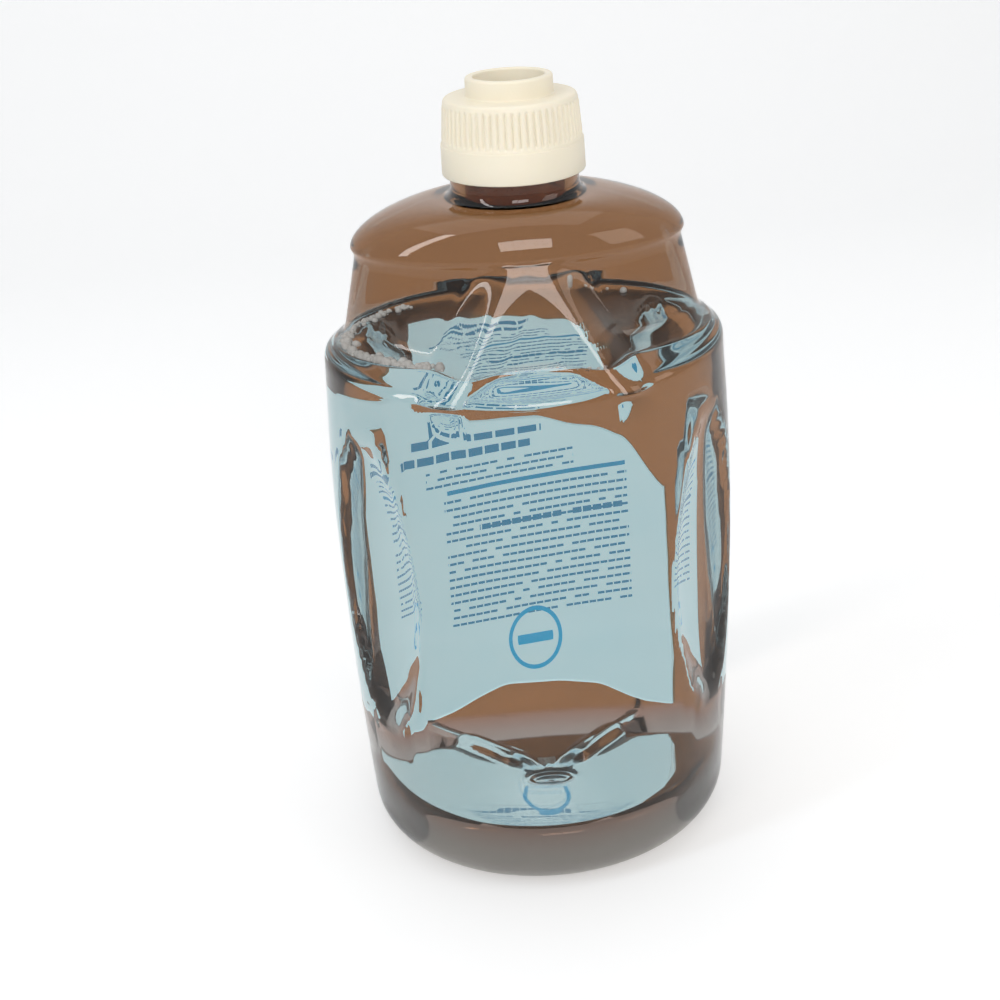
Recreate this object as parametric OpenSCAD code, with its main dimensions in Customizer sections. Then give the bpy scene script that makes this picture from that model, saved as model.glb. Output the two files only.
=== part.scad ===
// Refill bottle for a shower cleaner: an oval blown bottle with a ledge and a narrower turret, its
// liquid, a film label on the back, and a ribbed screw cap with a sealing insert for the spike.
// Front faces -Y, the width runs along X and the bottle stands on z = 0.

/* [Node] */
// Which sub-part to draw

/* [Body] */
// Width of the oval body at its waist
body_w = 108; // [90:0.5:130]
// Depth of the oval body at its waist
body_d = 88; // [70:0.5:110]
// Height of the widest level
waist_z = 93; // [60:1:120]
// Height of the rim where the ledge starts
rim_z = 149; // [120:0.5:170]
// How much higher the rim is at the two sides than at the front
rim_lift = 3; // [0:0.1:6]
// Rounding of the rim
rim_r = 3; // [1:0.1:6]
// How far the wall draws in from the waist to the base
low_bow = 2.6; // [0:0.1:6]
// How far the wall draws in from the waist to the rim
high_bow = 2.5; // [0:0.1:6]
// Thickness of the blown wall
wall = 0.6; // [0.4:0.05:1.5]

/* [Base] */
// Height of the rounded heel
heel_h = 14; // [6:0.5:25]
// How far the heel draws in at the sides
heel_in_x = 13.5; // [5:0.5:25]
// How far the heel draws in at the front and back
heel_in_y = 10; // [4:0.5:20]
// Height of the pushed-up base at its centre
push_h = 18.5; // [6:0.5:24]
// How far the pushed-up base falls from its centre to its edge
push_fall = 0.8; // [0:0.1:3]
// Rounding between the pushed-up base and its skirt
push_round = 4; // [1:0.5:6]
// Radius of the round gate mark at the base's centre
gate_r = 4; // [2:0.5:8]
// How far the gate mark stands down from the pushed-up base
gate_h = 0.7; // [0:0.1:2]
// Height of the two ribs that run from the base's middle to the back wall
rib_z = 20.5; // [18:0.5:28]
// Half of a rib's width
rib_half = 3.2; // [1.5:0.1:6]
// Angle from the width axis to a rib
rib_angle = 67.6; // [50:0.1:80]

/* [Turret] */
// Width of the turret where it meets the ledge
turret_w = 91.2; // [70:0.5:110]
// Depth of the turret where it meets the ledge
turret_d = 56.6; // [40:0.5:90]
// Height where the ledge meets the turret
foot_z = 156; // [130:0.5:180]
// Width at the crease under the shoulder
crease_w = 84.2; // [60:0.5:100]
// Depth at the crease under the shoulder
crease_d = 52.8; // [40:0.5:90]
// Height of the crease
crease_z = 176.6; // [150:0.5:200]
// How far the wall steps in under the crease
crease_step = 0.9; // [0:0.1:3]
// Radius where the shoulder reaches the neck
shoulder_r = 18.2; // [16:0.1:25]
// Height where the shoulder reaches the neck
shoulder_z = 187.4; // [170:0.5:210]

/* [Buttress] */
// Half of the distance between the two legs' edges at the crease
keel_top_w = 2.5; // [1:0.5:15]
// Half of the distance between the two legs' edges at the rim
keel_low_w = 19; // [10:0.5:40]
// How far the space between the two legs is sunk
keel_sink = 3.2; // [0:0.1:8]
// Width of the sloping flank of a leg
keel_flank = 9; // [2:0.5:12]

/* [Grips] */
// Depth of the four finger dimples
grip_h = 4.6; // [0:0.1:9]
// Height of a dimple's centre
grip_z = 92; // [60:1:120]
// Half of a dimple's height
grip_half_z = 42; // [20:1:60]
// Angle from the width axis to a dimple's centre line
grip_angle = 33; // [10:1:60]
// Half of the angle that a dimple spans at its middle
grip_span = 19; // [5:1:30]

/* [Neck] */
// Radius of the plain neck collar that shows under the cap
collar_r = 16; // [14:0.1:20]
// Height where the plain collar ends inside the cap
collar_z = 196; // [188:0.5:205]
// Radius of the threaded part of the neck
neck_r = 13.6; // [11:0.1:18]
// Radius of the neck's bore
bore_r = 12.05; // [9:0.05:16]
// Height of the neck's rim
land_z = 208.6; // [195:0.1:225]

/* [Cap] */
// Outer radius of the smooth band
band_r = 17.7; // [15:0.1:25]
// Height of the cap's lower edge
cap_low_z = 192.9; // [185:0.1:205]
// Height of the smooth band
band_h = 7.6; // [3:0.1:12]
// Outer radius of the ribbed part at its foot
rib_low_r = 17.2; // [14:0.1:25]
// Outer radius of the ribbed part at its top
rib_top_r = 16.3; // [14:0.1:25]
// Height of the cap's flat top
top_z = 211.2; // [200:0.1:230]
// Thickness of the top plate
plate_t = 1.4; // [0.8:0.1:3]
// Rounding of the top edge
top_round = 0.9; // [0.2:0.1:2]
// Number of grooves between the ribs
groove_count = 60; // [24:1:90]
// Radius of one groove
groove_r = 0.42; // [0.2:0.01:1]
// Outer radius of the raised collar on the top
port_out_r = 10.7; // [8:0.1:14]
// Radius of the port that the spike enters
port_r = 8.6; // [6:0.1:12]
// Height of the raised collar above the flat top
port_h = 4.6; // [1:0.1:8]

/* [Seal insert] */
// Thickness of the sealing flange on the neck's rim
flange_t = 1.2; // [0.6:0.1:3]
// Radius of the sealing flange
flange_r = 13.9; // [12:0.1:16]
// Depth of the plug in the neck's bore
plug_h = 4; // [2:0.1:8]
// Thickness of the plug's wall
plug_wall = 1.2; // [0.6:0.1:2]
// Thickness of the web that the spike pierces
web_t = 0.6; // [0.3:0.1:1.5]

/* [Contents and label] */
// Height of the liquid's surface
fill_z = 152; // [60:0.5:155]
// Height of the label's lower edge at the middle of the back
label_low_z = 33; // [15:0.5:60]
// How far the label's lower edge falls towards its two ends
label_sag = 13; // [0:0.5:20]
// Height of the label's upper edge at the middle of the back
label_top_z = 118; // [90:0.5:145]
// How much higher the upper edge is at the label's left part, seen from the front
label_rise = 9; // [0:0.5:20]
// How far the upper edge falls at the label's right corner
label_fall = 26; // [0:0.5:60]
// Angle round the back from its middle to the label's left end
label_left = 35; // [10:1:60]
// Angle round the back from its middle to the label's right end
label_right = 30; // [10:1:60]
// Thickness of the label film
film_t = 0.2; // [0.1:0.05:0.5]

/* [Fits] */
// Radial clearance of the plug in the bore and of the flange in the cap
fit_gap = 0.05; // [0.02:0.01:0.1]
// Radial clearance round the neck's collar
band_gap = 0.4; // [0.2:0.05:1]
// Room for the thread between the neck and the cap
thread_room = 1.35; // [0.8:0.05:2]
// Gap between the wall and the label film
film_gap = 0.06; // [0.02:0.01:0.2]
// Gap between the wall and the liquid
wet_gap = 0.08; // [0.05:0.01:0.5]

/* [Colours] */
// Clear bottle
bottle_colour = [0.80, 0.78, 0.74, 0.35];
// Clear cleaner
liquid_colour = [0.80, 0.86, 0.88, 0.45];
// Label film
label_colour = [0.72, 0.86, 0.90];
// Ivory cap
cap_colour = [0.95, 0.91, 0.81];
// Sealing insert
seal_colour = [0.93, 0.93, 0.90];

/* [Hidden] */
$fn = 96;
over = 0.5;
ring_n = 64;
plan_exp = 2.0;
turret_exp = 1.9;
heel_exp = 2.2;
dome_exp = 1.8;
skirt_part = 1.04;
foot_part = 1.095;
rib_start = 9;
lift_z = rim_z - rim_r - 4;
ring_crowd = 9;
surface_part = 0.989;
film_rows = 16;
band_top_z = cap_low_z + band_h;
plate_z = top_z - plate_t;
port_z = top_z + port_h;
plug_r = bore_r - fit_gap;
seat_r = flange_r + fit_gap;
keel_top_z = crease_z;

function smooth(x) = let (t = max(0, min(1, x))) t * t * (3 - 2 * t);
function mix(a, b, f) = a + (b - a) * f;
function signed_pow(v, e) = sign(v) * pow(abs(v), e);

// How far the body's wall is drawn in at a height
function bow(z) = z < waist_z
    ? low_bow * pow((waist_z - z) / waist_z, 2)
    : high_bow * pow((z - waist_z) / (rim_z - waist_z), 2);

// A level of the skin is [half width, half depth, height, exponent of its oval]
function body_level(z) = [body_w / 2 - bow(z), body_d / 2 - bow(z) * body_d / body_w, z, plan_exp];

function heel_level(turn) =
    let (low = pow(cos(turn), 2 / heel_exp), out = 1 - pow(sin(turn), 2 / heel_exp),
         z = heel_h * (1 - low), wall_at = body_level(z))
    [wall_at[0] - heel_in_x * out, wall_at[1] - heel_in_y * out, z, plan_exp];

// A level under the base, its size told as a part of the heel's lower edge
function base_level(part, z) =
    let (edge = heel_level(0))
    [edge[0] * part, edge[1] * part, z, plan_exp];

function rim_level(turn) =
    let (start = body_level(rim_z - rim_r), back = rim_r * (1 - cos(turn)))
    [start[0] - back, start[1] - back, rim_z - rim_r + rim_r * sin(turn), plan_exp];

function between(a, b, f) = [for (k = [0:3]) mix(a[k], b[k], f)];
foot_level = [turret_w / 2, turret_d / 2, foot_z, turret_exp];
crease_level = [crease_w / 2, crease_d / 2, crease_z, turret_exp];

function dome_level(turn) =
    let (rise = pow(sin(turn), 2 / dome_exp), run = 1 - pow(cos(turn), 2 / dome_exp))
    [mix(crease_w / 2, shoulder_r, run), mix(crease_d / 2, shoulder_r, run),
     mix(crease_z, shoulder_z, rise), mix(turret_exp, 2, turn / 90)];

gate_part = gate_r / heel_level(0)[0];
base_levels = concat(
    [base_level(gate_part, push_h - gate_h), base_level(gate_part * 1.3, push_h)],
    [for (part = [0.3, 0.45, 0.65, 0.88]) base_level(part, push_h - push_fall * part * part)],
    [for (turn = [45, 90])
        base_level(skirt_part - 0.1 * (1 - sin(turn)), push_h - push_fall - push_round * (1 - cos(turn)))],
    [base_level(skirt_part, 1.2), base_level(skirt_part + 0.01, 0), base_level(foot_part, 0)]);
heel_levels = [for (turn = [20:17.5:90]) heel_level(turn)];
wall_levels = [for (k = [1:9]) body_level(mix(heel_h + 3, lift_z, (k - 1) / 8))];
rim_levels = [for (turn = [0:25:75]) rim_level(turn)];
ledge_levels = [for (f = [0.35, 0.75, 1]) between(rim_level(75), foot_level, f)];
recess_level = [crease_w / 2 - crease_step, crease_d / 2 - crease_step, crease_z - 1.8, turret_exp];
turret_levels = concat([for (k = [1:4]) between(foot_level, recess_level, k / 4)], [crease_level]);
dome_levels = [for (turn = [15:15:90]) dome_level(turn)];
shell_levels = concat(base_levels, heel_levels, wall_levels, rim_levels, ledge_levels,
    turret_levels, dome_levels);

// Moves a level inwards by a distance, square to the side outline, and keeps the distance
function inset(levels, k, d) =
    let (prev = levels[max(0, k - 1)], next = levels[min(len(levels) - 1, k + 1)],
         run = [next[0] - prev[0], next[2] - prev[2]], size = norm(run),
         out = [run[1], -run[0]] / size)
    [levels[k][0] - d * out[0], levels[k][1] - d * out[0], levels[k][2] - d * out[1], levels[k][3], d];

function depth_in(level) = len(level) > 4 ? level[4] : 0;

// Leaf-shaped dimple: its depth at an angle and height
function leaf(angle, z) =
    let (v = (z - grip_z) / grip_half_z, narrow = 1 - v * v,
         u = (angle - grip_angle) / (grip_span * max(0.05, sqrt(max(0, narrow)))))
    abs(v) >= 1 || abs(u) >= 1 ? 0 : grip_h * pow(1 - u * u, 0.8) * sqrt(narrow);

// The four dimples are alike, so an angle is folded into the first quarter
function fold(t) = let (h = t % 180) h > 90 ? 180 - h : h;

// A-shaped buttress in front of the turret: how far it stands out at a place of a skin that lies a
// distance d inside the outer one
function keel(x, y, z, d) =
    let (f = smooth((keel_top_z - z) / (keel_top_z - rim_z)),
         line = mix(crease_d / 2, body_level(rim_z)[1] - rim_r, (keel_top_z - z) / (keel_top_z - rim_z)),
         half = mix(keel_top_w, keel_low_w, (keel_top_z - z) / (keel_top_z - rim_z)),
         full = smooth((half + keel_flank - abs(x)) / keel_flank),
         hollow = smooth((half - abs(x)) / keel_flank) * f)
    y > 0 || z > keel_top_z || z < rim_z - rim_r
        ? 0 : max(0, line - 1.1 * d + y - keel_sink * hollow) * full;

// Two ribs that bridge the trough round the base: how far they lift a place up
function rib(level, t, z) =
    let (size = sqrt(level[0] * level[1]), aside = size * sin(abs(fold(t) - rib_angle)),
         top = rib_z + depth_in(level) + 0.05 * (z - rib_z))
    t > 180 || z > top ? 0 : (top - z) * smooth(1.25 - aside / rib_half) * smooth((size - rib_start) / 6);

// A point of the skin at an angle round a level
function skin_point(level, t) =
    let (e = 2 / level[3], a = level[0], b = level[1],
         x = a * signed_pow(cos(t), e), y = b * signed_pow(sin(t), e), z = level[2],
         lift = rim_lift * pow(cos(t), 2) * smooth(1 - abs(z - rim_z) / (rim_z - lift_z)),
         dent = leaf(fold(t), z), across = [cos(t) / a, sin(t) / b], out = across / norm(across))
    [x - out[0] * dent, y - out[1] * dent - keel(x, y, z, depth_in(level)),
     z + lift + rib(level, t, z)];

// The points of a ring lie closer together at the front and the back, where the detail is
function ring_angle(i) = 360 * i / ring_n + ring_crowd * sin(720 * i / ring_n);
function skin_ring(level) = [for (i = [0:ring_n - 1]) skin_point(level, ring_angle(i))];

// Closed skin through a list of rings, with a flat end on the first and the last ring. The rings
// run up, and from number down_from on they run down again.
module skin(rings, down_from = 1000) {
    n = len(rings[0]);
    m = len(rings);
    sides = [for (j = [0:m - 2], i = [0:n - 1], half = [0, 1])
        let (a = j * n + i, b = j * n + (i + 1) % n, left = (4 * i / n) % 2 < 1 != (j >= down_from))
        left ? (half == 0 ? [a, a + n, b] : [b, a + n, b + n])
             : (half == 0 ? [a, a + n, b + n] : [a, b + n, b])];
    first = [for (i = [0:n - 1]) i];
    last = [for (i = [0:n - 1]) (m - 1) * n + n - 1 - i];
    polyhedron(points = [for (ring = rings) each ring], faces = concat([first], sides, [last]));
}

function inner_levels(d) = [for (k = [0:len(shell_levels) - 1]) inset(shell_levels, k, d)];
function backwards(list) = [for (k = [len(list) - 1:-1:0]) list[k]];

module blown_shell() {
    fillet = [for (turn = [30:30:90])
        [shoulder_r - (shoulder_r - collar_r - film_gap) * sin(turn), 0,
         shoulder_z + 2 * (1 - cos(turn)), 2]];
    outer = concat(shell_levels, [for (level = fillet) [level[0], level[0], level[2], 2]]);
    mouth_r = (bore_r + collar_r) / 2;
    mouth = [for (z = [fillet[2][2], shoulder_z - wall]) [mouth_r, mouth_r, z, 2]];
    all_levels = concat(outer, mouth, backwards(inner_levels(wall)));
    skin([for (level = all_levels) skin_ring(level)], len(outer) + 1);
}

module neck_profile() {
    polygon([
        [bore_r, shoulder_z - wall - over],
        [collar_r, shoulder_z - wall - over],
        [collar_r, collar_z - 0.8],
        [collar_r - 0.8, collar_z],
        [neck_r, collar_z],
        [neck_r, land_z - 0.5],
        [neck_r - 0.5, land_z],
        [bore_r, land_z]
    ]);
}

module bottle() color(bottle_colour) {
    blown_shell();
    rotate_extrude() neck_profile();
}

// Where a column of the inner wall crosses the liquid's surface, a little off the rim's facets
function surface_point(rings, i) =
    let (k = [for (j = [1:len(rings) - 2]) if (rings[j][i][2] < fill_z && rings[j + 1][i][2] >= fill_z) j][0],
         low = rings[k][i], high = rings[k + 1][i], f = (fill_z - low[2]) / (high[2] - low[2]))
    [mix(low[0], high[0], f) * surface_part, mix(low[1], high[1], f) * surface_part, fill_z];

// The cleaner fills the inside up to its surface
module liquid() color(liquid_colour) {
    levels = inner_levels(wall + wet_gap);
    rings = [for (level = levels) skin_ring(level)];
    wet = [for (k = [0:len(levels) - 1]) if (levels[k][2] < fill_z - over)
        [for (p = rings[k]) [p[0], p[1], min(p[2], fill_z - over)]]];
    skin(concat(wet, [[for (i = [0:ring_n - 1]) surface_point(rings, i)]]));
}

// The label's lower and upper edges at an angle from the middle of the back
function label_low(turn) = label_low_z - label_sag * pow(abs(turn) / label_right, 1.5);
function label_top(turn) =
    label_top_z + label_rise * smooth((-turn - 16) / 9)
    - label_fall * pow(max(0, turn - 9) / (label_right - 9), 2);

function film_point(turn, row, out) =
    let (z = mix(label_low(turn), label_top(turn), row / film_rows), level = body_level(z))
    skin_point([level[0] + out, level[1] + out, z, plan_exp], 90 - turn);

function film_ring(turn) = concat(
    [for (row = [0:film_rows]) film_point(turn, row, film_gap + film_t)],
    [for (row = [film_rows:-1:0]) film_point(turn, row, film_gap)]);

module back_label() color(label_colour) {
    turns = [for (i = [ring_n / 2:-1:0]) 90 - ring_angle(i)];
    skin([for (turn = turns) if (turn >= -label_left && turn <= label_right) film_ring(turn)]);
}

module cap_profile() {
    draft = (rib_low_r - rib_top_r) / (top_z - band_top_z);
    edge_r = rib_top_r - top_round;
    polygon(concat([
        [collar_r + band_gap, cap_low_z],
        [band_r - 0.3, cap_low_z],
        [band_r, cap_low_z + 0.3],
        [band_r - 0.15, band_top_z - 0.3],
        [band_r - 0.35, band_top_z],
        [rib_low_r, band_top_z + 0.1],
        [rib_top_r + draft * top_round, top_z - top_round]],
        [for (turn = [15:15:90]) [edge_r + top_round * cos(turn), top_z - top_round + top_round * sin(turn)]],
        [[port_out_r + 0.3, top_z],
        [port_out_r, top_z + 0.3],
        [port_out_r, port_z - 0.5],
        [port_out_r - 0.5, port_z],
        [port_r + 0.4, port_z],
        [port_r, port_z - 0.4],
        [port_r, plate_z],
        [seat_r, plate_z],
        [seat_r, plate_z - flange_t],
        [neck_r + thread_room, plate_z - flange_t - 0.9],
        [neck_r + thread_room, collar_z + 0.6],
        [collar_r + band_gap, collar_z + 0.6]]));
}

module cap() color(cap_colour)
difference() {
    rotate_extrude() cap_profile();
    lean = atan((rib_low_r - rib_top_r) / (top_z - band_top_z));
    for (i = [0:groove_count - 1])
        rotate([0, 0, (i + 0.5) * 360 / groove_count])
            translate([rib_low_r, 0, band_top_z + 0.7])
                rotate([0, -lean, 0])
                    cylinder(r = groove_r, h = top_z - band_top_z - top_round - 1.5);
}

module seal_insert() color(seal_colour)
rotate_extrude()
polygon([
    [0, land_z - plug_h + 1],
    [plug_r - plug_wall, land_z - plug_h + 1],
    [plug_r - plug_wall, land_z - plug_h],
    [plug_r - 0.4, land_z - plug_h],
    [plug_r, land_z - plug_h + 0.6],
    [plug_r, land_z],
    [flange_r, land_z],
    [flange_r, land_z + flange_t],
    [plug_r - plug_wall, land_z + flange_t],
    [plug_r - plug_wall, land_z - plug_h + 1 + web_t],
    [0, land_z - plug_h + 1 + web_t]
]);

bottle();
liquid();
back_label();
cap();
seal_insert();
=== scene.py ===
import math

import bpy
import numpy as np
from mathutils import Matrix, Vector


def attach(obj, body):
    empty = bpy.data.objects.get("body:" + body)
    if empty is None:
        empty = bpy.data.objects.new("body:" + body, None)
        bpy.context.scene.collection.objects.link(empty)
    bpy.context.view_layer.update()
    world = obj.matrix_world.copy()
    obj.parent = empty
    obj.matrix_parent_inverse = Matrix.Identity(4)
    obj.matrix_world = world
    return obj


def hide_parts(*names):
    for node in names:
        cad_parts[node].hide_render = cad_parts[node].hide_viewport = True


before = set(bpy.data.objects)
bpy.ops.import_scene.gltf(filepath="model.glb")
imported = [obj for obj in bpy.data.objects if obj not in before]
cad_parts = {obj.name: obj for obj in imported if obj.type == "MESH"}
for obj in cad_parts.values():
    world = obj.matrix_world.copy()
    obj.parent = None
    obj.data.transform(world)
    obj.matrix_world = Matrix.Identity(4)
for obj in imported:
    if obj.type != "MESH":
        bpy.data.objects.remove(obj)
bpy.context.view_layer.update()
metre = 0.001
print("frame loaded")


# General helpers. The forms are worked out in millimetres.

def smooth(x):
    t = np.clip(x, 0.0, 1.0)
    return t * t * (3.0 - 2.0 * t)


def mix(a, b, f):
    return a + (b - a) * f


def signedPower(v, e):
    return np.sign(v) * np.abs(v) ** e


def ringFaces(rows, count, closed=True):
    faces = []
    for j in range(rows - 1):
        for i in range(count if closed else count - 1):
            k = (i + 1) % count
            faces.append((j * count + i, j * count + k, (j + 1) * count + k, (j + 1) * count + i))
    return faces


def addPiece(name, points, faces, body, slotName, smoothShading=True):
    mesh = bpy.data.meshes.new(name)
    mesh.from_pydata([tuple(p) for p in np.asarray(points) * metre], [], faces)
    mesh.validate()
    if smoothShading:
        mesh.polygons.foreach_set("use_smooth", [True] * len(mesh.polygons))
    mesh.update()
    piece = bpy.data.objects.new(name, mesh)
    bpy.context.scene.collection.objects.link(piece)
    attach(piece, body)
    return piece


# Form of the blown bottle

bottleForm = {
    "width": 108.0, "depth": 88.0, "waistZ": 93.0, "rimZ": 149.0, "rimLift": 3.0, "rimRound": 3.0,
    "lowBow": 2.6, "highBow": 2.5, "wall": 0.6,
    "heelZ": 14.0, "heelInX": 13.5, "heelInY": 10.0, "heelExp": 2.2, "pushUp": 18.5,
    "pushFall": 0.8, "pushCorner": 4.0, "skirtPart": 1.04, "gateRound": 4.0, "gateDrop": 0.7,
    "ribZ": 20.5, "ribHalf": 3.2, "ribAngle": 67.6, "ribStart": 9.0,
    "turretWidth": 91.2, "turretDepth": 56.6, "footZ": 156.0, "turretExp": 1.9,
    "creaseWidth": 84.2, "creaseDepth": 52.8, "creaseZ": 176.6, "creaseStep": 0.9, "domeExp": 1.8,
    "shoulderRound": 18.2, "shoulderZ": 187.4,
    "keelTop": 2.5, "keelLow": 19.0, "keelSink": 3.2, "keelFlank": 9.0,
    "gripDepth": 4.6, "gripZ": 92.0, "gripHalfZ": 42.0, "gripAngle": 33.0, "gripSpan": 19.0,
    "collarRound": 16.0, "neckRound": 13.6, "boreRound": 12.05, "landZ": 208.6,
    "threadRise": 1.0, "threadLead": 4.23, "threadZ": 199.5, "threadTurns": 1.25,
    "around": 320, "crowd": 9.0,
}
form = bottleForm
liftZ = form["rimZ"] - form["rimRound"] - 4.0
planExp = 2.0


def level(a, b, z, e):
    a, b, z, e = np.broadcast_arrays(*(np.asarray(v, dtype=float) for v in (a, b, z, e)))
    return np.stack([a, b, z, e], axis=-1)


def bow(z):
    low = form["lowBow"] * ((form["waistZ"] - z) / form["waistZ"]) ** 2
    high = form["highBow"] * ((z - form["waistZ"]) / (form["rimZ"] - form["waistZ"])) ** 2
    return np.where(z < form["waistZ"], low, high)


def bodyLevel(z, out=0.0):
    z = np.asarray(z, dtype=float)
    return level(form["width"] / 2 - bow(z) + out,
                 form["depth"] / 2 - bow(z) * form["depth"] / form["width"] + out, z, planExp)


def heelLevel(turn):
    turn = np.radians(np.asarray(turn, dtype=float))
    low = np.cos(turn) ** (2 / form["heelExp"])
    out = 1 - np.sin(turn) ** (2 / form["heelExp"])
    wallAt = bodyLevel(form["heelZ"] * (1 - low))
    return level(wallAt[..., 0] - form["heelInX"] * out, wallAt[..., 1] - form["heelInY"] * out,
                 form["heelZ"] * (1 - low), planExp)


baseEdge = heelLevel(0.0)


def baseLevel(part, z):
    return level(baseEdge[0] * np.asarray(part), baseEdge[1] * np.asarray(part), z, planExp)


def pushedLevel(part):
    gatePart = form["gateRound"] / baseEdge[0]
    gate = form["gateDrop"] * smooth((gatePart * 1.3 - part) / (gatePart * 0.3))
    return baseLevel(part, form["pushUp"] - form["pushFall"] * part ** 2 - gate)


def cornerLevel(turn):
    turn = np.radians(turn)
    return baseLevel(form["skirtPart"] - 0.1 * (1 - np.sin(turn)),
                     form["pushUp"] - form["pushFall"] - form["pushCorner"] * (1 - np.cos(turn)))


def rimLevel(turn):
    turn = np.radians(np.asarray(turn, dtype=float))
    start = bodyLevel(form["rimZ"] - form["rimRound"])
    back = form["rimRound"] * (1 - np.cos(turn))
    return level(start[0] - back, start[1] - back,
                 form["rimZ"] - form["rimRound"] + form["rimRound"] * np.sin(turn), planExp)


footLevel = level(form["turretWidth"] / 2, form["turretDepth"] / 2, form["footZ"], form["turretExp"])
recessLevel = level(
    form["creaseWidth"] / 2 - form["creaseStep"], form["creaseDepth"] / 2 - form["creaseStep"],
    form["creaseZ"] - 1.8, form["turretExp"])
creaseLevel = level(form["creaseWidth"] / 2, form["creaseDepth"] / 2, form["creaseZ"], form["turretExp"])


def between(a, b, parts):
    return mix(a, b, np.asarray(parts, dtype=float)[:, None])


def domeLevel(turn):
    part = np.asarray(turn, dtype=float) / 90
    turn = np.radians(np.asarray(turn, dtype=float))
    rise = np.sin(turn) ** (2 / form["domeExp"])
    run = 1 - np.maximum(np.cos(turn), 0) ** (2 / form["domeExp"])
    return level(mix(form["creaseWidth"] / 2, form["shoulderRound"], run),
                 mix(form["creaseDepth"] / 2, form["shoulderRound"], run),
                 mix(form["creaseZ"], form["shoulderZ"], rise), mix(form["turretExp"], 2.0, part))


def leaf(fold, z):
    v = (z - form["gripZ"]) / form["gripHalfZ"]
    narrow = np.clip(1 - v * v, 0, 1)
    u = (fold - form["gripAngle"]) / (form["gripSpan"] * np.maximum(0.05, np.sqrt(narrow)))
    return form["gripDepth"] * np.clip(1 - u * u, 0, 1) ** 0.8 * np.sqrt(narrow)


def keel(x, y, z):
    q = (form["creaseZ"] - z) / (form["creaseZ"] - form["rimZ"])
    rimDepth = bodyLevel(form["rimZ"])[1] - form["rimRound"]
    line = mix(form["creaseDepth"] / 2, rimDepth, q)
    half = mix(form["keelTop"], form["keelLow"], q)
    full = smooth((half + form["keelFlank"] - np.abs(x)) / form["keelFlank"])
    hollow = smooth((half - np.abs(x)) / form["keelFlank"]) * smooth(q)
    out = np.maximum(0, line + y - form["keelSink"] * hollow) * full
    return np.where((y > 0) | (z > form["creaseZ"]) | (z < form["rimZ"] - form["rimRound"]), 0, out)


def skinPoints(levels, turns):
    a, b, z, e = (levels[:, k:k + 1] for k in range(4))
    c, s = np.cos(turns)[None, :], np.sin(turns)[None, :]
    x = a * signedPower(c, 2 / e)
    y = b * signedPower(s, 2 / e)
    z = z + 0 * x
    lift = form["rimLift"] * c ** 2 * smooth(1 - np.abs(z - form["rimZ"]) / (form["rimZ"] - liftZ))
    half = np.degrees(turns)[None, :] % 180
    fold = np.where(half > 90, 180 - half, half)
    dent = leaf(fold, z)
    across = np.stack([c / a, s / b], axis=-1)
    across = across / np.linalg.norm(across, axis=-1, keepdims=True)
    size = np.sqrt(a * b)
    aside = size * np.sin(np.radians(np.abs(fold - form["ribAngle"])))
    top = form["ribZ"] + 0.05 * (z - form["ribZ"])
    ribShare = smooth(1.25 - aside / form["ribHalf"])
    rib = np.maximum(0, top - z) * ribShare * smooth((size - form["ribStart"]) / 6)
    rib = np.where(s >= 0, rib, 0)
    return np.stack([x - across[..., 0] * dent, y - across[..., 1] * dent - keel(x, y, z),
                     z + lift + rib], axis=-1)


def softened(levels, rounds):
    for _ in range(rounds):
        inner = 0.25 * levels[:-2] + 0.5 * levels[1:-1] + 0.25 * levels[2:]
        levels = np.concatenate([levels[:1], inner, levels[-1:]])
    return levels


steps = 2 * np.pi * np.arange(form["around"]) / form["around"]
turns = steps + np.radians(form["crowd"]) * np.sin(2 * steps)

shellLevels = np.concatenate([
    pushedLevel(np.concatenate([[0.02, 0.06, 0.1], np.linspace(0.106, 0.15, 6), np.linspace(0.2, 0.9, 10)])),
    cornerLevel(np.linspace(8, 90, 8)),
    baseLevel(form["skirtPart"], np.linspace(12.5, 1.5, 7)),
    baseLevel([1.041, 1.046, 1.055, 1.07, 1.09], [0.7, 0.15, 0.0, 0.0, 0.0]),
    heelLevel(np.linspace(20, 90, 14)),
    bodyLevel(np.linspace(form["heelZ"] + 1.5, 23.0, 6)),
    bodyLevel(np.linspace(25.0, form["rimZ"] - form["rimRound"] - 1, 36)),
    rimLevel(np.linspace(0, 75, 9)),
    between(rimLevel(75), footLevel, np.linspace(0.1, 0.95, 9)),
    between(footLevel, recessLevel, np.linspace(0.03, 0.98, 20)),
    between(recessLevel, creaseLevel, [0.3, 0.6, 0.85, 1.0]),
    domeLevel(np.linspace(3, 90, 22)),
])
shellLevels = softened(shellLevels, 1)
outerSkin = skinPoints(shellLevels, turns)


def skinNormals(skin):
    along = np.roll(skin, -1, axis=1) - np.roll(skin, 1, axis=1)
    up = np.gradient(skin, axis=0)
    out = np.cross(along, up)
    return out / np.maximum(np.linalg.norm(out, axis=-1, keepdims=True), 1e-9)


outerNormals = skinNormals(outerSkin)


def threadRise(z, turn, startZ):
    lead = form["threadLead"]
    count = np.round((z - startZ) / lead - turn / (2 * np.pi))
    total = count + turn / (2 * np.pi)
    away = np.abs(z - startZ - total * lead)
    ends = smooth(total * 12) * smooth((form["threadTurns"] - total) * 12)
    return form["threadRise"] * smooth((1.15 - away) / 0.75) * ends


def revolved(profile, turnList):
    profile = np.asarray(profile, dtype=float)
    r, z = profile[:, :1], profile[:, 1:2]
    return np.stack([r * np.cos(turnList)[None, :], r * np.sin(turnList)[None, :],
                     z + 0 * turnList[None, :]], axis=-1)


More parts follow.
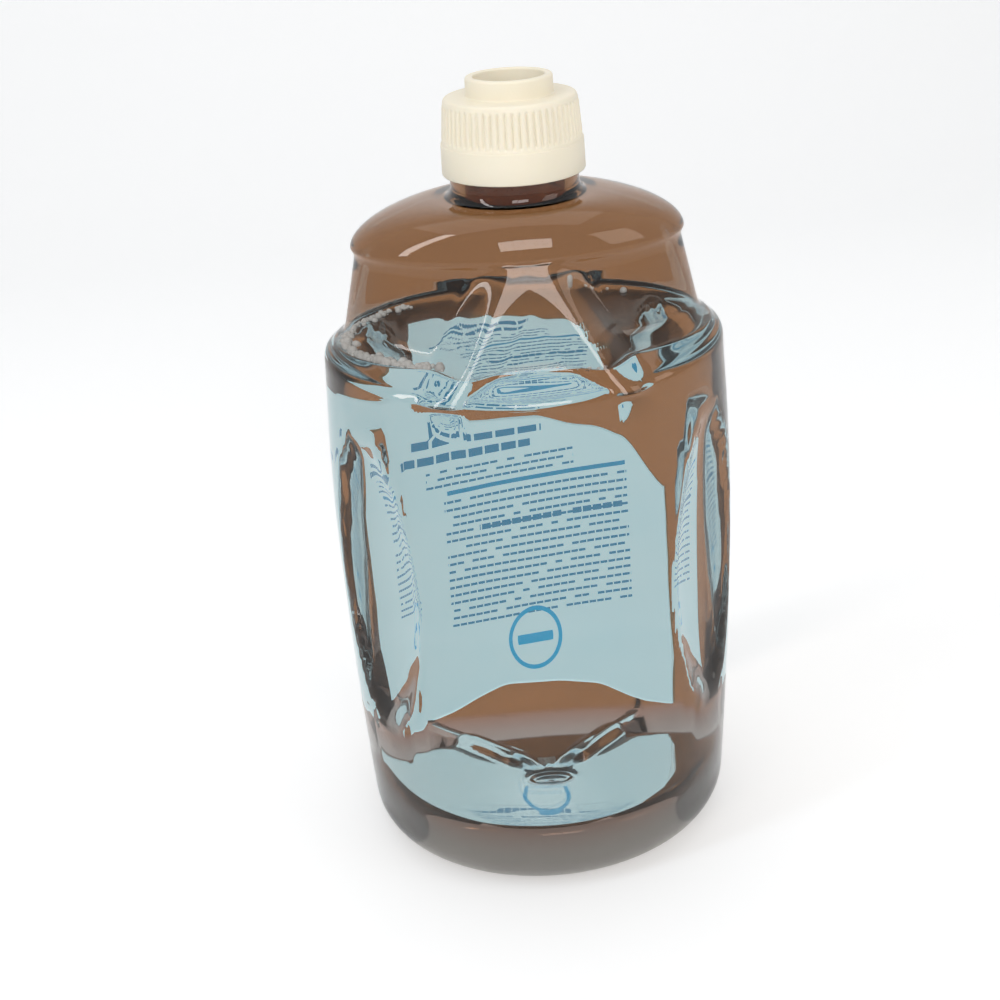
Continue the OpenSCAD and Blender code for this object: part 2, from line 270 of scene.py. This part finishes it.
neckRound = form["neckRound"]
landZ = form["landZ"]
fillet = [(form["shoulderRound"] - 2.2 * math.sin(t), form["shoulderZ"] + 3.2 * (1 - math.cos(t)))
          for t in np.radians(np.linspace(10, 90, 7))]
collar = [(form["collarRound"], 192.0), (form["collarRound"], 195.2), (form["collarRound"] - 0.3, 195.8),
          (form["collarRound"] - 0.8, 196.0), (neckRound + 0.3, 196.1), (neckRound, 196.4)]
threadRows = [(neckRound, z) for z in np.linspace(196.8, landZ - 0.7, 36)]
rimRows = [(neckRound - 0.15, landZ - 0.3), (neckRound - 0.5, landZ), (form["boreRound"] + 0.3, landZ),
           (form["boreRound"], landZ - 0.3), (form["boreRound"], 196.0), (form["boreRound"], 188.6),
           (form["boreRound"] + 0.6, 187.3), (form["boreRound"] + 2.6, form["shoulderZ"] - 0.6)]
neckSkin = revolved(fillet + collar + threadRows + rimRows, turns)
threadAt = np.array([r == neckRound and z > 196.6 for r, z in fillet + collar + threadRows + rimRows])
rise = threadRise(neckSkin[..., 2], turns[None, :] % (2 * np.pi), form["threadZ"]) * threadAt[:, None]
outwards = np.stack([np.cos(turns), np.sin(turns)], axis=-1)[None, :, :]
neckSkin[..., :2] += outwards * rise[..., None]

innerRows = np.concatenate([
    np.arange(0, 19, 3), np.arange(19, 54), np.arange(56, 95, 4), np.arange(95, 116, 2),
    np.arange(116, len(shellLevels) - 1, 3)])[::-1]
innerSkin = (outerSkin - form["wall"] * outerNormals)[innerRows]
wholeSkin = np.concatenate([outerSkin, neckSkin, innerSkin])


def closedSkin(skin):
    rows, count = skin.shape[:2]
    points = list(skin.reshape(-1, 3))
    faces = ringFaces(rows, count)
    first, last = len(points), len(points) + 1
    points += [skin[0].mean(axis=0), skin[-1].mean(axis=0)]
    faces += [(first, (i + 1) % count, i) for i in range(count)]
    top = (rows - 1) * count
    faces += [(last, top + i, top + (i + 1) % count) for i in range(count)]
    return points, faces


shell = addPiece("bottleShell", *closedSkin(wholeSkin), "bottle", "bottle")
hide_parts("bottle")
print("bottle shell built", len(shell.data.polygons))


# The cleaner

liquidForm = {"fillZ": 152.0, "inWall": 0.35, "meniscus": 0.9, "topRows": 26}


def wettedTo(skin, z, start, rowCount):
    columns = []
    for i in range(skin.shape[1]):
        column = skin[:, i]
        j = int(np.argmax(column[start:, 2] >= z)) + start
        f = (z - column[j - 1, 2]) / (column[j, 2] - column[j - 1, 2])
        at = start + (j - 1 + f - start) * np.linspace(0, 1, rowCount)
        low = np.minimum(at.astype(int), j - 1)
        columns.append(mix(column[low], column[low + 1], (at - low)[:, None]))
    return np.stack(columns, axis=1)


wetSkin = outerSkin - liquidForm["inWall"] * outerNormals
wetStart = int(np.argmax(shellLevels[:, 2] > liftZ - 8))
wetRows = list(wetSkin[:wetStart])
topRows = wettedTo(wetSkin, liquidForm["fillZ"] + liquidForm["meniscus"], wetStart, liquidForm["topRows"])
wetRows += list(topRows[:-1])
edgeRow = topRows[-1]
surfaceRows = []
for inward in (0.0, 0.3, 0.7, 1.3, 2.2, 3.5, 6.0, 12.0, 22.0, 32.0):
    edgeSize = np.linalg.norm(edgeRow[:, :2], axis=1, keepdims=True)
    row = edgeRow.copy()
    row[:, :2] *= np.maximum(edgeSize - inward, 1) / edgeSize
    row[:, 2] = liquidForm["fillZ"] + liquidForm["meniscus"] * math.exp(-inward / 1.1)
    surfaceRows.append(row)
liquid = addPiece("cleanerFill", *closedSkin(np.array(wetRows + surfaceRows)), "bottle", "liquid")
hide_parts("liquid")
print("cleaner built", len(liquid.data.polygons))


# Foam and bubbles at the cleaner's surface

foamForm = {
    "stretches": ((132, 178, 130, 0.30, 0.95), (178, 240, 130, 0.35, 1.6), (42, 70, 9, 0.6, 1.15),
                  (238, 300, 14, 0.25, 0.5)),
    "spread": 3.4, "seed": 11,
}


def foamBubbles():
    pick = np.random.RandomState(foamForm["seed"])
    rows = np.radians(np.linspace(-78, 78, 7))
    around = 2 * np.pi * np.arange(10) / 10
    ball = revolved([(math.cos(t), math.sin(t)) for t in rows], around)
    ballPoints, ballFaces = closedSkin(ball)
    points, faces = [], []
    for start, end, count, small, large in foamForm["stretches"]:
        for _ in range(count):
            turn = np.radians(pick.uniform(start, end))
            size = pick.uniform(small, large) * pick.uniform(0.5, 1.0)
            edgeAt = edgeRow[int(np.argmin(np.abs(turns - turn)))]
            reach = np.hypot(edgeAt[0], edgeAt[1])
            inward = size + 0.9 + foamForm["spread"] * pick.beta(1.0, 2.6)
            centre = np.array([edgeAt[0] * (1 - inward / reach), edgeAt[1] * (1 - inward / reach),
                               liquidForm["fillZ"] + 0.25 * size])
            faces += [tuple(len(points) + k for k in f) for f in ballFaces]
            points += [centre + size * np.asarray(p) for p in ballPoints]
    return points, faces


foam = addPiece("surfaceFoam", *foamBubbles(), "bottle", "liquid")
print("foam built", len(foam.data.polygons))


# The label on the back

labelForm = {
    "lowTurns": (-35, -28, -23, -17, -11.6, -6, 6, 15, 23, 30),
    "lowZ": (20, 20, 20.5, 24, 28.4, 32, 32, 30, 23.5, 21),
    "topTurns": (-35, -25, -17, -13, 5, 11, 17, 23, 27, 30),
    "topZ": (126, 125.5, 120, 118, 118, 114.5, 113, 108, 99, 92),
    "left": 35.0, "right": 30.0, "film": 0.18, "out": 0.06, "columns": 150, "rows": 110,
}


def labelEdge(turn, turnsAt, heights):
    return sum(np.interp(turn + k, turnsAt, heights) for k in (-1.5, -0.5, 0.5, 1.5)) / 4


def labelSheet(out):
    columns = []
    for turn in np.linspace(-labelForm["left"], labelForm["right"], labelForm["columns"]):
        low = labelEdge(turn, labelForm["lowTurns"], labelForm["lowZ"])
        top = labelEdge(turn, labelForm["topTurns"], labelForm["topZ"])
        z = mix(low, top, np.linspace(0, 1, labelForm["rows"]))
        columns.append(skinPoints(bodyLevel(z, out), np.array([math.radians(90 - turn)]))[:, 0])
    return np.array(columns)


nearSheet = labelSheet(-0.25)
farSheet = labelSheet(labelForm["out"] + labelForm["film"])
labelCount = labelForm["columns"] * labelForm["rows"]
rows = labelForm["rows"]
near = ringFaces(labelForm["columns"], rows, closed=False)
edge = [(i, i + 1, labelCount + i + 1, labelCount + i) for i in range(rows - 1)]
lastRow = labelCount - rows
edge += [(lastRow + i + 1, lastRow + i, labelCount + lastRow + i, labelCount + lastRow + i + 1)
         for i in range(rows - 1)]
edge += [((j + 1) * rows, j * rows, labelCount + j * rows, labelCount + (j + 1) * rows)
         for j in range(labelForm["columns"] - 1)]
edge += [(j * rows + rows - 1, (j + 1) * rows + rows - 1, labelCount + (j + 1) * rows + rows - 1,
          labelCount + j * rows + rows - 1) for j in range(labelForm["columns"] - 1)]
labelPoints = np.concatenate([nearSheet.reshape(-1, 3), farSheet.reshape(-1, 3)])
labelFaces = near + [tuple(labelCount + k for k in reversed(f)) for f in near] + edge
label = addPiece("filmLabel", labelPoints, labelFaces, "bottle", "back_label")
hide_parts("back_label")
print("label built", len(label.data.polygons))


# The screw cap

capForm = {
    "bandRound": 17.7, "lowZ": 192.9, "bandHeight": 7.6, "ribLowRound": 17.2, "ribTopRound": 16.3,
    "topZ": 211.2, "plate": 1.4, "edgeRound": 0.9, "grooves": 60, "grooveDepth": 0.42, "grooveHalf": 0.26,
    "portOut": 10.7, "port": 8.6, "portHeight": 4.6, "flange": 1.2, "seatRound": 13.95,
    "innerRound": 14.95, "collarClear": 16.4, "around": 600,
}
capTurns = 2 * np.pi * np.arange(capForm["around"]) / capForm["around"]
bandTopZ = capForm["lowZ"] + capForm["bandHeight"]
plateZ = capForm["topZ"] - capForm["plate"]
portZ = capForm["topZ"] + capForm["portHeight"]


def arc(centre, size, start, end, count):
    return [(centre[0] + size * math.cos(t), centre[1] + size * math.sin(t))
            for t in np.radians(np.linspace(start, end, count))]


ribTaper = (capForm["ribLowRound"] - capForm["ribTopRound"]) / (capForm["topZ"] - bandTopZ)
ribZ = np.concatenate([np.linspace(bandTopZ + 0.5, bandTopZ + 1.5, 5),
                       np.linspace(bandTopZ + 2.5, capForm["topZ"] - 3.2, 4),
                       np.linspace(capForm["topZ"] - 2.6, capForm["topZ"] - 1.2, 6)])
capProfile = (
    [(capForm["collarClear"], capForm["lowZ"] + 0.2), (capForm["collarClear"] + 0.2, capForm["lowZ"])]
    + arc((capForm["bandRound"] - 0.35, capForm["lowZ"] + 0.35), 0.35, -90, 0, 5)
    + [(capForm["bandRound"] - 0.05, capForm["lowZ"] + 3)]
    + arc((capForm["bandRound"] - 0.4, bandTopZ - 0.25), 0.25, 0, 90, 5)
    + [(capForm["ribLowRound"] + 0.12, bandTopZ + 0.02), (capForm["ribLowRound"], bandTopZ + 0.18)]
    + [(capForm["ribLowRound"] - ribTaper * (z - bandTopZ), z) for z in ribZ]
    + arc((capForm["ribTopRound"] - capForm["edgeRound"], capForm["topZ"] - capForm["edgeRound"]),
          capForm["edgeRound"], 0, 90, 8)
    + [(13.5, capForm["topZ"]), (capForm["portOut"] + 0.5, capForm["topZ"])]
    + arc((capForm["portOut"] + 0.35, capForm["topZ"] + 0.35), 0.35, 270, 180, 4)
    + [(capForm["portOut"] - 0.1, portZ - 1.5)]
    + arc((capForm["portOut"] - 0.75, portZ - 0.65), 0.65, 0, 90, 6)
    + arc((capForm["port"] + 0.5, portZ - 0.5), 0.5, 90, 180, 5)
    + [(capForm["port"], 212.5), (capForm["port"], plateZ + 0.2), (capForm["port"] + 0.15, plateZ)]
    + [(capForm["seatRound"] - 0.1, plateZ), (capForm["seatRound"], plateZ - 0.1),
       (capForm["seatRound"], plateZ - capForm["flange"]),
       (capForm["innerRound"], plateZ - capForm["flange"] - 0.9)]
    + [(capForm["innerRound"], z) for z in np.linspace(207.2, 197.0, 34)]
    + [(capForm["innerRound"], 196.7), (capForm["collarClear"], 196.4), (capForm["collarClear"], 194.5)]
)
capSkin = revolved(capProfile, capTurns)
grooveAt = np.abs((capTurns * capForm["grooves"] / (2 * np.pi)) % 1 - 0.5)
grooveShape = 1 - smooth(grooveAt / capForm["grooveHalf"])
ribShape = 0.1 * (1 - np.cos(np.minimum(grooveAt, 0.5) * 2 * np.pi)) - 0.1
profileR = np.array([p[0] for p in capProfile])[:, None]
profileZ = np.array([p[1] for p in capProfile])[:, None]
onOuter = (profileR > 15.2) & (profileZ > bandTopZ + 0.3) & (profileZ < capForm["topZ"] - 0.8)
grooveEnds = smooth((profileZ - bandTopZ - 0.5) / 0.9) * smooth((capForm["topZ"] - 1.2 - profileZ) / 1.2)
cut = onOuter * grooveEnds * (capForm["grooveDepth"] * grooveShape[None, :] - ribShape[None, :])
ridge = (np.abs(profileR - capForm["innerRound"]) < 0.01) * threadRise(
    profileZ, capTurns[None, :], form["threadZ"] - form["threadLead"] / 2)
outwardCap = np.stack([np.cos(capTurns), np.sin(capTurns)], axis=-1)[None, :, :]
capSkin[..., :2] -= outwardCap * (cut + ridge)[..., None]
capRows, capCount = capSkin.shape[:2]
capFaces = ringFaces(capRows, capCount)
lastRing = (capRows - 1) * capCount
capFaces += [(lastRing + i, lastRing + (i + 1) % capCount, (i + 1) % capCount, i) for i in range(capCount)]
cap = addPiece("screwCap", capSkin.reshape(-1, 3), capFaces, "cap", "cap")
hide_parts("cap")
print("cap built", len(cap.data.polygons))


# The sealing insert inside the cap

sealForm = {"flangeRound": 13.9, "plugRound": 12.0, "plugWall": 1.2, "plugDepth": 4.0, "web": 0.6}
sealTurns = 2 * np.pi * np.arange(192) / 192
wellRound = sealForm["plugRound"] - sealForm["plugWall"]
webZ = landZ - sealForm["plugDepth"] + 1
sealProfile = (
    [(0.6, webZ), (4.0, webZ), (wellRound - 0.3, webZ), (wellRound, webZ - 0.3), (wellRound, webZ - 0.9)]
    + [(wellRound + 0.1, landZ - 4), (sealForm["plugRound"] - 0.4, landZ - 4)]
    + [(sealForm["plugRound"], landZ - 3.4)]
    + [(sealForm["plugRound"], landZ - 0.1), (sealForm["plugRound"] + 0.1, landZ)]
    + [(sealForm["flangeRound"] - 0.1, landZ), (sealForm["flangeRound"], landZ + 0.1)]
    + [(sealForm["flangeRound"], landZ + 1.1), (sealForm["flangeRound"] - 0.1, landZ + 1.2)]
    + [(wellRound + 0.2, landZ + 1.2), (wellRound, landZ + 1.0), (wellRound, webZ + 1.0)]
    + [(r, webZ + sealForm["web"]) for r in (wellRound - 0.4, 4.0, 0.6)]
)
sealPoints, sealFaces = closedSkin(revolved(sealProfile, sealTurns))
seal = addPiece("sealInsert", sealPoints, sealFaces, "insert", "seal_insert")
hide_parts("seal_insert")
print("seal built", len(seal.data.polygons))


# Finishes

def newMaterial(name):
    material = bpy.data.materials.new(name)
    material.use_nodes = True
    nodes = material.node_tree.nodes
    nodes.clear()
    output = nodes.new("ShaderNodeOutputMaterial")
    return material, material.node_tree, output


def addNode(tree, kind, links=None, **values):
    node = tree.nodes.new(kind)
    for key, value in values.items():
        setattr(node, key, value)
    for socket, value in (links or {}).items():
        target = node.inputs[socket]
        if isinstance(value, bpy.types.NodeSocket):
            tree.links.new(value, target)
        else:
            target.default_value = value
    return node


def maths(tree, operation, a, b=0.0, c=0.0):
    node = tree.nodes.new("ShaderNodeMath")
    node.operation = operation
    for socket, value in zip(node.inputs, (a, b, c)):
        if isinstance(value, bpy.types.NodeSocket):
            tree.links.new(value, socket)
        else:
            socket.default_value = value
    return node.outputs[0]


def blendColour(tree, factor, a, b):
    node = tree.nodes.new("ShaderNodeMix")
    node.data_type = "RGBA"
    for socket, value in ((node.inputs["Factor"], factor), (node.inputs[6], a), (node.inputs[7], b)):
        if isinstance(value, bpy.types.NodeSocket):
            tree.links.new(value, socket)
        else:
            socket.default_value = value
    return node.outputs[2]


# The two tints for the leaving side are painted shade: the dark brown surroundings seen through the bottle,
# painted onto the outer wall where rays leave it, neutral grey towards the heel.
clearSet = {
    "clear": (0.99, 0.99, 0.985, 1), "leaving": (0.07, 0.0155, 0.0026, 1),
    "heelPaintedShade": (0.11, 0.108, 0.10, 1),
    "shadow": (0.66, 0.58, 0.52, 1), "scuff": 0.03, "wave": 0.00025, "plasticIor": 1.42, "cleanerIor": 1.333,
}


def clearFinish(name, ior, outside):
    material, tree, output = newMaterial(name)
    place = addNode(tree, "ShaderNodeTexCoord").outputs["Object"]
    geometry = addNode(tree, "ShaderNodeNewGeometry")
    leaving = geometry.outputs["Backfacing"]
    broad = addNode(tree, "ShaderNodeTexNoise", {"Vector": place, "Scale": 38.0, "Detail": 0.0})
    if outside:
        fine = addNode(tree, "ShaderNodeTexNoise", {"Vector": place, "Scale": 170.0, "Detail": 0.0})
        height = maths(tree, "MULTIPLY_ADD", fine.outputs["Fac"], clearSet["scuff"], broad.outputs["Fac"])
        bump = addNode(tree, "ShaderNodeBump", {
            "Height": height, "Strength": 1.0, "Distance": clearSet["wave"]}).outputs[0]
        split = addNode(tree, "ShaderNodeSeparateXYZ", {"Vector": place})
        # Painted shade: the leaving side of the outer wall is tinted dark brown, neutral grey towards the
        # heel, standing for the dark surroundings seen through the bottle.
        upWall = addNode(tree, "ShaderNodeMapRange", {"Value": split.outputs["Z"], 1: 0.008, 2: 0.022})
        paintedShadeTint = blendColour(tree, upWall.outputs[0], clearSet["heelPaintedShade"], clearSet["leaving"])
        colour = blendColour(tree, leaving, clearSet["clear"], paintedShadeTint)
        shadow = blendColour(tree, leaving, clearSet["shadow"], clearSet["clear"])
    else:
        bump = geometry.outputs["Normal"]
        colour = blendColour(tree, broad.outputs["Fac"], (0.985, 0.985, 0.985, 1), (0.995, 0.995, 0.99, 1))
        shadow = clearSet["clear"]
    plastic = addNode(tree, "ShaderNodeBsdfPrincipled", {
        "Base Color": colour, "Roughness": 0.0, "IOR": ior, "Transmission Weight": 1.0, "Normal": bump})
    passing = addNode(tree, "ShaderNodeBsdfTransparent", {"Color": shadow})
    path = addNode(tree, "ShaderNodeLightPath")
    both = addNode(tree, "ShaderNodeMixShader", {0: path.outputs["Is Shadow Ray"], 1: plastic.outputs[0],
                                                 2: passing.outputs[0]})
    tree.links.new(both.outputs[0], output.inputs["Surface"])
    return material


shell.data.materials.append(clearFinish("clearPlastic", clearSet["plasticIor"], True))
shell.data.materials.append(clearFinish("clearPlasticInside", clearSet["plasticIor"], False))
insideFrom = (len(outerSkin) + len(neckSkin) - 1) * form["around"]
for face in shell.data.polygons:
    face.material_index = int(insideFrom <= face.index < insideFrom + len(innerSkin) * form["around"])
liquid.data.materials.append(clearFinish("clearCleaner", clearSet["cleanerIor"], False))


def foamFinish():
    material, tree, output = newMaterial("foamFilm")
    place = addNode(tree, "ShaderNodeTexCoord").outputs["Object"]
    cloud = addNode(tree, "ShaderNodeTexNoise", {"Vector": place, "Scale": 700.0, "Detail": 2.0})
    rough = addNode(tree, "ShaderNodeMapRange", {"Value": cloud.outputs["Fac"], 3: 0.02, 4: 0.2})
    film = addNode(tree, "ShaderNodeBsdfPrincipled", {
        "Base Color": (0.97, 0.96, 0.93, 1), "Roughness": rough.outputs[0], "IOR": 1.12,
        "Transmission Weight": 0.35})
    tree.links.new(film.outputs[0], output.inputs["Surface"])
    return material


foam.data.materials.append(foamFinish())


def capFinish():
    material, tree, output = newMaterial("ivoryPlastic")
    place = addNode(tree, "ShaderNodeTexCoord").outputs["Object"]
    grain = addNode(tree, "ShaderNodeTexNoise", {"Vector": place, "Scale": 1400.0, "Detail": 4.0})
    cloud = addNode(tree, "ShaderNodeTexNoise", {"Vector": place, "Scale": 90.0, "Detail": 3.0})
    colour = blendColour(tree, cloud.outputs["Fac"], (0.87, 0.79, 0.62, 1), (0.90, 0.83, 0.68, 1))
    bump = addNode(tree, "ShaderNodeBump", {
        "Height": grain.outputs["Fac"], "Strength": 0.35, "Distance": 0.0001})
    rough = addNode(tree, "ShaderNodeMapRange", {"Value": cloud.outputs["Fac"], 3: 0.36, 4: 0.52})
    plastic = addNode(tree, "ShaderNodeBsdfPrincipled", {
        "Base Color": colour, "Roughness": rough.outputs[0], "IOR": 1.49, "Subsurface Weight": 0.15,
        "Subsurface Radius": (0.004, 0.003, 0.002), "Normal": bump.outputs[0]})
    tree.links.new(plastic.outputs[0], output.inputs["Surface"])
    return material


cap.data.materials.append(capFinish())


def sealFinish():
    material, tree, output = newMaterial("naturalPlastic")
    place = addNode(tree, "ShaderNodeTexCoord").outputs["Object"]
    cloud = addNode(tree, "ShaderNodeTexNoise", {"Vector": place, "Scale": 300.0, "Detail": 3.0})
    colour = blendColour(tree, cloud.outputs["Fac"], (0.80, 0.74, 0.62, 1), (0.86, 0.82, 0.72, 1))
    plastic = addNode(tree, "ShaderNodeBsdfPrincipled", {"Base Color": colour, "Roughness": 0.5})
    tree.links.new(plastic.outputs[0], output.inputs["Surface"])
    return material


seal.data.materials.append(sealFinish())


# The glow strength in this table is a painted glow: the film emits its own colour where it is seen through
# the bottle.
labelPrint = {
    "field": (0.66, 0.92, 0.98, 1), "edgeField": (0.56, 0.86, 0.95, 1), "ink": (0.035, 0.27, 0.47, 1),
    "ruleInk": (0.02, 0.33, 0.58, 1), "emblemInk": (0.01, 0.42, 0.74, 1), "tilt": 0.13, "letThrough": 0.25,
    "paintedGlow": 0.53,
}


def labelFinish():
    material, tree, output = newMaterial("printedFilm")
    place = addNode(tree, "ShaderNodeTexCoord").outputs["Object"]
    split = addNode(tree, "ShaderNodeSeparateXYZ", {"Vector": place})
    turn = maths(tree, "MULTIPLY", maths(tree, "ARCTAN2", split.outputs["X"], split.outputs["Y"]), 57.2958)
    height = maths(tree, "MULTIPLY", split.outputs["Z"], 1000.0)
    z = maths(tree, "MULTIPLY_ADD", turn, -labelPrint["tilt"], height)

    def both(a, b):
        return maths(tree, "MULTIPLY", a, b)

    def either(*parts):
        total = parts[0]
        for part in parts[1:]:
            total = maths(tree, "MAXIMUM", total, part)
        return total

    def stripe(value, low, high):
        above = maths(tree, "GREATER_THAN", value, low)
        return both(above, maths(tree, "LESS_THAN", value, high))

    def bars(lowZ, highZ, pitch, thick, left, right, word, keepPart):
        up = maths(tree, "DIVIDE", maths(tree, "SUBTRACT", z, lowZ), pitch)
        row = maths(tree, "FLOOR", up)
        inRow = maths(tree, "LESS_THAN", maths(tree, "FRACT", up), thick)
        along = maths(tree, "DIVIDE", maths(tree, "MULTIPLY_ADD", row, 3.7, turn), word)
        seed = addNode(tree, "ShaderNodeCombineXYZ", {"X": row, "Y": maths(tree, "FLOOR", along)}).outputs[0]
        chance = addNode(tree, "ShaderNodeTexWhiteNoise", {"Vector": seed}).outputs["Value"]
        inWord = maths(tree, "LESS_THAN", maths(tree, "FRACT", along), 0.86)
        keep = both(maths(tree, "LESS_THAN", chance, keepPart), inWord)
        return both(both(stripe(z, lowZ, highZ), stripe(turn, left, right)), both(inRow, keep))

    title = either(
        bars(112.2, 115.2, 3.3, 0.74, -27.0, 6.0, 5.6, 1.0),
        bars(107.4, 110.4, 3.3, 0.74, -33.0, 3.0, 4.3, 1.0))
    small = bars(100.0, 106.2, 2.1, 0.34, -24.0, 14.0, 2.2, 0.88)
    rule = both(stripe(z, 97.2, 98.5), stripe(turn, -19.0, 26.7))
    rows = bars(55.5, 96.0, 2.45, 0.32, -20.0, 27.0, 2.0, 0.88)
    head = bars(84.6, 87.4, 2.9, 0.6, -11.0, 26.0, 2.6, 0.95)
    wide = maths(tree, "POWER", maths(tree, "DIVIDE", maths(tree, "SUBTRACT", turn, 1.5), 7.0), 2.0)
    tall = maths(tree, "POWER", maths(tree, "DIVIDE", maths(tree, "SUBTRACT", z, 47.0), 10.5), 2.0)
    away = maths(tree, "SQRT", maths(tree, "ADD", wide, tall))
    ink = either(title, small, rows, head)
    wash = addNode(tree, "ShaderNodeTexNoise", {"Vector": place, "Scale": 45.0, "Detail": 2.0}).outputs["Fac"]
    colour = blendColour(tree, wash, labelPrint["field"], labelPrint["edgeField"])
    colour = blendColour(tree, ink, colour, labelPrint["ink"])
    colour = blendColour(tree, rule, colour, labelPrint["ruleInk"])
    emblem = either(stripe(away, 0.86, 1.0), both(stripe(away, 0.0, 0.66), stripe(z, 45.4, 48.6)))
    colour = blendColour(tree, emblem,
                         colour, labelPrint["emblemInk"])
    # Painted glow: seen through the bottle, the film emits its own colour, which brightens the label as if it
    # were lit; the film is no lamp.
    path = addNode(tree, "ShaderNodeLightPath")
    paintedGlowStrength = maths(tree, "MULTIPLY", path.outputs["Is Transmission Ray"], labelPrint["paintedGlow"])
    film = addNode(tree, "ShaderNodeBsdfPrincipled", {
        "Base Color": colour, "Roughness": 0.35, "Emission Color": colour, "Emission Strength": paintedGlowStrength})
    behind = addNode(tree, "ShaderNodeBsdfTranslucent", {"Color": colour})
    lit = addNode(tree, "ShaderNodeMixShader", {
        0: labelPrint["letThrough"], 1: film.outputs[0], 2: behind.outputs[0]})
    tree.links.new(lit.outputs[0], output.inputs["Surface"])
    return material


label.data.materials.append(labelFinish())
print("finishes made")


# Studio

studio = {
    "floorColour": (0.93, 0.93, 0.93, 1), "worldColour": (0.94, 0.97, 1.0, 1), "worldStrength": 0.40,
    "floorGlow": 0.22, "worldGlow": 0.32,
}


def seenRays(tree):
    path = addNode(tree, "ShaderNodeLightPath")
    seen = maths(tree, "ADD", path.outputs["Is Glossy Ray"], path.outputs["Is Transmission Ray"])
    return maths(tree, "MINIMUM", maths(tree, "ADD", seen, path.outputs["Is Camera Ray"]), 1.0)


def floorSweep():
    rows = []
    for y, z in ([(-1.5, 0), (0.6, 0)] + [(0.6 + 0.5 * math.sin(t), 0.5 - 0.5 * math.cos(t))
                 for t in np.radians(np.linspace(10, 90, 9))] + [(1.1, 2.2)]):
        rows.append([(-2.2, y, z), (2.2, y, z)])
    points = [p for row in rows for p in row]
    faces = [(2 * j, 2 * j + 1, 2 * j + 3, 2 * j + 2) for j in range(len(rows) - 1)]
    mesh = bpy.data.meshes.new("floorSweep")
    mesh.from_pydata(points, [], faces)
    mesh.polygons.foreach_set("use_smooth", [True] * len(mesh.polygons))
    sweep = bpy.data.objects.new("floorSweep", mesh)
    bpy.context.scene.collection.objects.link(sweep)
    material, tree, output = newMaterial("paleFloor")
    glow = maths(tree, "MULTIPLY", seenRays(tree), studio["floorGlow"])
    surface = addNode(tree, "ShaderNodeBsdfPrincipled", {
        "Base Color": studio["floorColour"], "Roughness": 0.9, "Emission Color": (1, 1, 1, 1),
        "Emission Strength": glow})
    tree.links.new(surface.outputs[0], output.inputs["Surface"])
    mesh.materials.append(material)


def addLight(name, place, target, size, power, colour=(1, 1, 1)):
    data = bpy.data.lights.new(name, "AREA")
    data.shape = "RECTANGLE"
    data.size, data.size_y = size
    data.energy = power
    data.color = colour
    light = bpy.data.objects.new(name, data)
    light.location = place
    light.rotation_euler = (Vector(target) - Vector(place)).to_track_quat("-Z", "Y").to_euler()
    bpy.context.scene.collection.objects.link(light)


floorSweep()
addLight("topSoftbox", (0.0, 0.1, 1.3), (0, 0, 0.1), (1.3, 1.0), 3.2)
addLight("leftStrip", (-0.75, -0.35, 0.75), (0, 0, 0.12), (0.12, 0.9), 3.0)
addLight("rightSoftbox", (0.9, -0.5, 0.6), (0, 0, 0.12), (0.5, 0.6), 2.0, (1.0, 0.93, 0.86))
addLight("frontSoftbox", (0.1, -1.3, 0.9), (0, 0, 0.1), (0.7, 0.5), 7.2)

world = bpy.data.worlds.new("studioWorld")
world.use_nodes = True
background = world.node_tree.nodes["Background"]
background.inputs["Color"].default_value = studio["worldColour"]
worldSeen = seenRays(world.node_tree)
worldLevel = maths(world.node_tree, "MULTIPLY_ADD", worldSeen, studio["worldGlow"], studio["worldStrength"])
world.node_tree.links.new(worldLevel, background.inputs["Strength"])
bpy.context.scene.world = world
bpy.context.scene.view_settings.view_transform = "Standard"
bpy.context.scene.cycles.max_bounces = 10
bpy.context.scene.cycles.diffuse_bounces = 2
bpy.context.scene.cycles.glossy_bounces = 4
bpy.context.scene.cycles.transmission_bounces = 10
bpy.context.scene.cycles.transparent_max_bounces = 10
bpy.context.scene.cycles.caustics_refractive = False
bpy.context.scene.cycles.caustics_reflective = False


# Camera

cameraSet = {
    "azimuth": -0.0664, "pitch": 0.4517, "roll": 0.0593, "reach": 0.34176, "height": 0.27397,
    "lens": 50.17, "shiftX": -0.0323, "shiftY": -0.0214,
}


def placeCamera():
    az, pitch, roll = (cameraSet[k] for k in ("azimuth", "pitch", "roll"))
    ahead = Vector((-math.sin(az), math.cos(az), 0)) * math.cos(pitch) + Vector((0, 0, -math.sin(pitch)))
    right = Vector((math.cos(az), math.sin(az), 0))
    up = right.cross(ahead)
    xAxis = math.cos(roll) * right - math.sin(roll) * up
    yAxis = math.sin(roll) * right + math.cos(roll) * up
    reach = cameraSet["reach"]
    spot = Vector((reach * math.sin(az), -reach * math.cos(az), cameraSet["height"]))
    data = bpy.data.cameras.new("photoCamera")
    data.lens = cameraSet["lens"]
    data.sensor_width = 36.0
    data.shift_x = cameraSet["shiftX"]
    data.shift_y = cameraSet["shiftY"]
    data.clip_start = 0.01
    camera = bpy.data.objects.new("photoCamera", data)
    camera.matrix_world = Matrix((
        (xAxis.x, yAxis.x, -ahead.x, spot.x),
        (xAxis.y, yAxis.y, -ahead.y, spot.y),
        (xAxis.z, yAxis.z, -ahead.z, spot.z),
        (0, 0, 0, 1)))
    bpy.context.scene.collection.objects.link(camera)
    bpy.context.scene.camera = camera


placeCamera()
